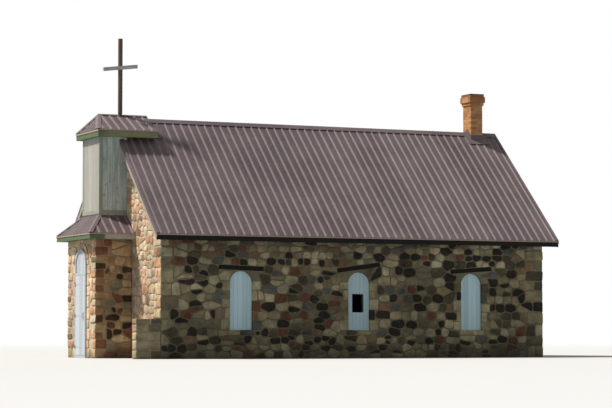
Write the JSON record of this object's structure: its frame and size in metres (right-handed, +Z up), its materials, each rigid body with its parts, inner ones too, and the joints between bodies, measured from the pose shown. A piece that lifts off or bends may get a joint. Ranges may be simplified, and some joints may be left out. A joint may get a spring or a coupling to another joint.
{
  "type": "small stone chapel",
  "caption": "Fieldstone chapel with ribbed metal gable roof, entrance porch, boarded belfry with a wooden cross, and a brick chimney on the rear gable.",
  "frame": {"origin": "ground level under the middle of the nave, on the underside of the nave floor", "axes": "+X along the nave from the porch gable to the chimney gable, +Z up, -Y the side that the picture shows"},
  "size_m": [12.72, 7, 8.4835],
  "materials": {
    "rubble_stone": "rough mixed fieldstone in pale mortar",
    "flagstone": "worn floor stone",
    "ribbed_metal": "weathered mauve brown sheet, satin",
    "dark_trim": "dark stained board",
    "roof_timber": "sawn timber, matt",
    "weathered_timber": "grey weathered timber, matt",
    "white_board": "white painted board, chalky",
    "cream_board": "cream painted board, chalky",
    "green_board": "green painted board, faded",
    "chimney_brick": "orange brick, matt",
    "flashing_metal": "folded sheet, satin",
    "iron": "black iron, satin"
  },
  "bodies": {
    "chapel": {"nave_floor": "flagstone", "right_wall": "rubble_stone", "left_wall": "rubble_stone", "front_gable_right": "rubble_stone", "front_gable_left": "rubble_stone", "front_gable_head": "rubble_stone", "rear_gable": "rubble_stone", "porch_floor": "flagstone", "porch_right_wall": "rubble_stone", "porch_left_wall": "rubble_stone", "porch_front_right": "rubble_stone", "porch_front_left": "rubble_stone", "porch_front_head": "rubble_stone", "porch_ceiling": "roof_timber", "wing_wall": "rubble_stone", "right_window_boards": "white_board", "left_window_boards": "white_board", "window_lintels": "weathered_timber", "wall_plates": "roof_timber", "rafters": "roof_timber", "ridge_board": "roof_timber", "right_roof_boards": "roof_timber", "left_roof_boards": "roof_timber", "right_roof_sheet": "ribbed_metal", "left_roof_sheet": "ribbed_metal", "ridge_cap": "ribbed_metal", "eave_fascias": "dark_trim", "barge_boards": "cream_board", "chimney_shaft": "chimney_brick", "chimney_cap": "chimney_brick", "chimney_flashing": "flashing_metal", "skirt_boards": "roof_timber", "skirt_roof_front": "ribbed_metal", "skirt_roof_right": "ribbed_metal", "skirt_roof_left": "ribbed_metal", "skirt_hip_caps": "ribbed_metal", "skirt_eave_box": "cream_board", "belfry_front": "cream_board", "belfry_right": "green_board", "belfry_left": "green_board", "belfry_trim": "green_board", "belfry_eave_box": "green_board", "belfry_roof_boards": "roof_timber", "belfry_roof_sheets": "ribbed_metal", "belfry_hip_caps": "ribbed_metal", "cross_post": "weathered_timber", "cross_arm": "weathered_timber", "door_frame": "white_board", "door_transom": "white_board", "door_hinges": "iron"},
    "door": {"front_door": "white_board", "door_ironwork": "iron"}
  },
  "joints": [
    {"name": "door_hinge", "type": "hinge", "parent": "chapel", "child": "door", "pos_m": [-6.6095, 0.372, 0.07], "axis": [0, 0, -1], "range_deg": [0, 100]}
  ]
}
